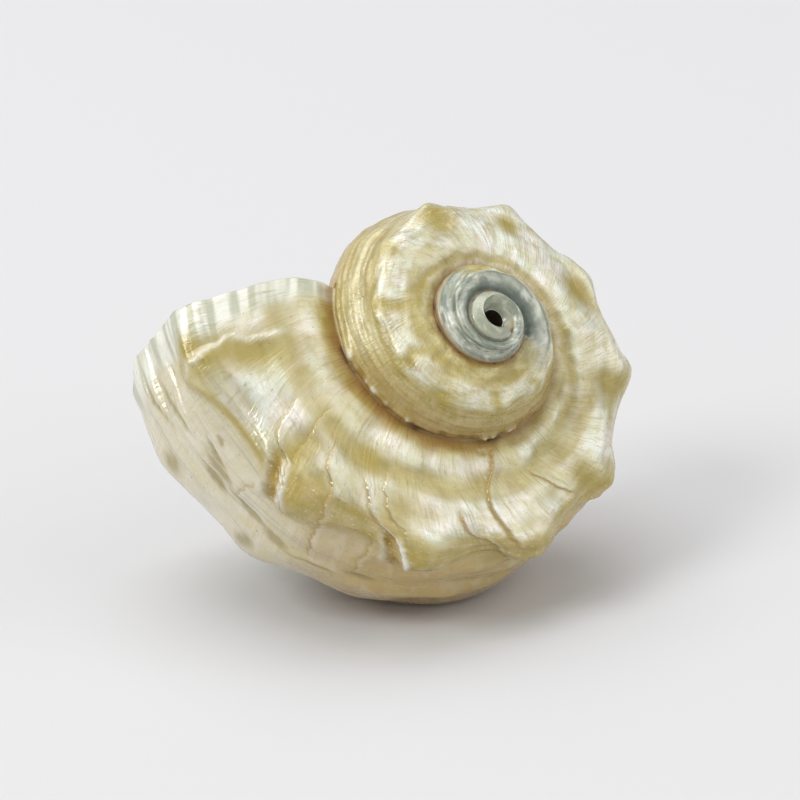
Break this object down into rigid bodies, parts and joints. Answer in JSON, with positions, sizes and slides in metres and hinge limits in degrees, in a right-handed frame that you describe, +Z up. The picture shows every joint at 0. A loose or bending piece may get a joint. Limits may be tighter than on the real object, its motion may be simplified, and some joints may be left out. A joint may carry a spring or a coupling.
{
  "type": "conch shell",
  "caption": "Pearly coiled sea snail shell with a low knobbed spire, a worn hollow tip, a wide round mouth and a deep navel, lying on its side.",
  "frame": {"origin": "middle of the bounding box's underside, at the level of the surface that the shell rests on", "axes": "+Z up as the shell rests; the mouth opens towards -X and +Y, and the spire's tip points towards +X, -Y and +Z"},
  "size_m": [0.0532, 0.0378, 0.0402],
  "materials": {
    "shell": "satin"
  },
  "bodies": {
    "root": {"shell": "shell"}
  },
  "joints": []
}
